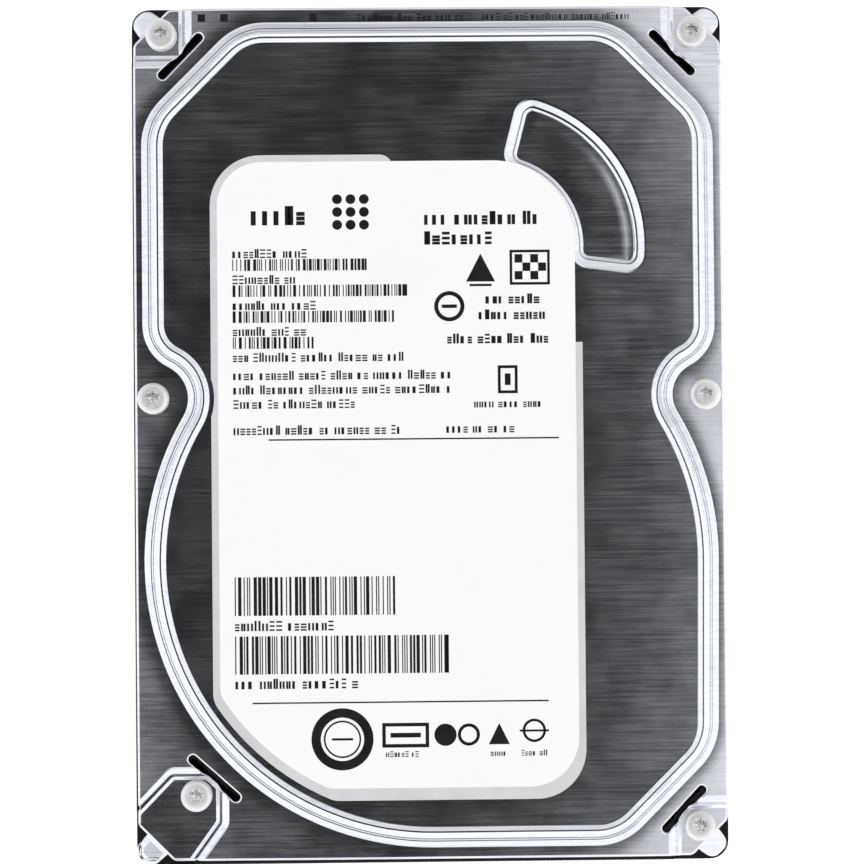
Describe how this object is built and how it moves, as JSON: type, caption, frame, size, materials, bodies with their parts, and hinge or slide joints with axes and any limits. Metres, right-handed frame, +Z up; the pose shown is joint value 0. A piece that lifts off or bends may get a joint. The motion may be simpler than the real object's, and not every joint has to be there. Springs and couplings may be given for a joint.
{
  "type": "hard disk drive",
  "caption": "Slim 3.5-inch hard disk drive: black cast base, pressed steel cover with screws and label, platter, swinging head actuator, latch and circuit board.",
  "frame": {"origin": "middle of the footprint at the underside of the base rails", "axes": "+Z up out of the cover, +Y along the drive towards the connector end, +X across the drive, right seen from above with +Y away"},
  "size_m": [0.1016, 0.147, 0.02],
  "materials": {
    "casting": "black electrocoat over a die casting, low sheen",
    "cover": "bright stainless sheet, brushed left to right",
    "rubber": "matt",
    "cover_screw": "satin nickel",
    "label_backing": "silvery film, satin",
    "label_paper": "coated white paper, printed black",
    "filter": "white nonwoven",
    "bearing_bronze": "machined bronze",
    "plated_steel": "nickel plated, satin",
    "copper_wire": "enamelled copper wire",
    "magnet": "nickel plated",
    "stainless": "machined",
    "board_screw": "black oxide",
    "machined_aluminium": "machined",
    "disk_surface": "mirror-like sputtered disk",
    "black_plastic": "moulded, fine texture",
    "flex_film": "amber polyimide",
    "board": "green solder mask",
    "chip": "moulded epoxy",
    "passives": "ceramic with tinned ends",
    "foam": "closed foam sheet",
    "gold": "gold plated"
  },
  "bodies": {
    "chassis": {"base_casting": "casting", "top_cover": "cover", "cover_gasket": "rubber", "cover_screw_1": "cover_screw", "cover_screw_2": "cover_screw", "cover_screw_3": "cover_screw", "cover_screw_4": "cover_screw", "cover_screw_5": "cover_screw", "cover_screw_6": "cover_screw", "label_backing": "label_backing", "label_sheet": "label_paper", "breather_filter": "filter", "recirculation_filter": "filter", "thrust_cup": "bearing_bronze", "bearing_sleeve": "bearing_bronze", "stator_core": "plated_steel", "stator_windings": "copper_wire", "vcm_lower_plate": "plated_steel", "vcm_upper_plate": "plated_steel", "lower_magnet": "magnet", "upper_magnet": "magnet", "vcm_spacers": "plated_steel", "vcm_screws": "stainless", "crash_stop_inner": "rubber", "crash_stop_outer": "rubber", "latch_pin": "stainless", "pivot_shaft": "stainless", "pivot_screw": "stainless", "flex_bracket": "black_plastic", "head_connector": "black_plastic", "flex_cable": "flex_film", "circuit_board": "board", "controller_chip": "chip", "cache_chip": "chip", "motor_driver_chip": "chip", "board_passives": "passives", "motor_connector": "black_plastic", "board_insulator": "foam", "board_screws": "board_screw", "sata_housing": "black_plastic", "sata_contacts": "gold", "jumper_block": "black_plastic", "jumper_pins": "gold"},
    "rotor": {"rotor_shaft": "stainless", "spindle_hub": "machined_aluminium", "rotor_magnet": "magnet", "platter": "disk_surface", "disk_clamp": "stainless", "clamp_screw": "stainless"},
    "actuator": {"pivot_sleeve": "stainless", "actuator_arm": "machined_aluminium", "coil_frame": "black_plastic", "voice_coil": "copper_wire", "upper_suspension": "stainless", "lower_suspension": "stainless", "upper_slider": "chip", "lower_slider": "chip", "preamp_chip": "chip"},
    "latch": {"latch_lever": "black_plastic"}
  },
  "joints": [
    {"name": "spindle_spin", "type": "hinge", "parent": "chassis", "child": "rotor", "pos_m": [0, -0.0215, 0.012], "axis": [0, 0, 1], "continuous": true},
    {"name": "actuator_swing", "type": "hinge", "parent": "chassis", "child": "actuator", "pos_m": [0.011, 0.0327, 0.012], "axis": [0, 0, 1], "range_deg": [-31.48, 0]},
    {"name": "latch_swing", "type": "hinge", "parent": "chassis", "child": "latch", "pos_m": [0.01933, 0.0638, 0.0117], "axis": [0, 0, 1], "range_deg": [-6, 8]}
  ]
}
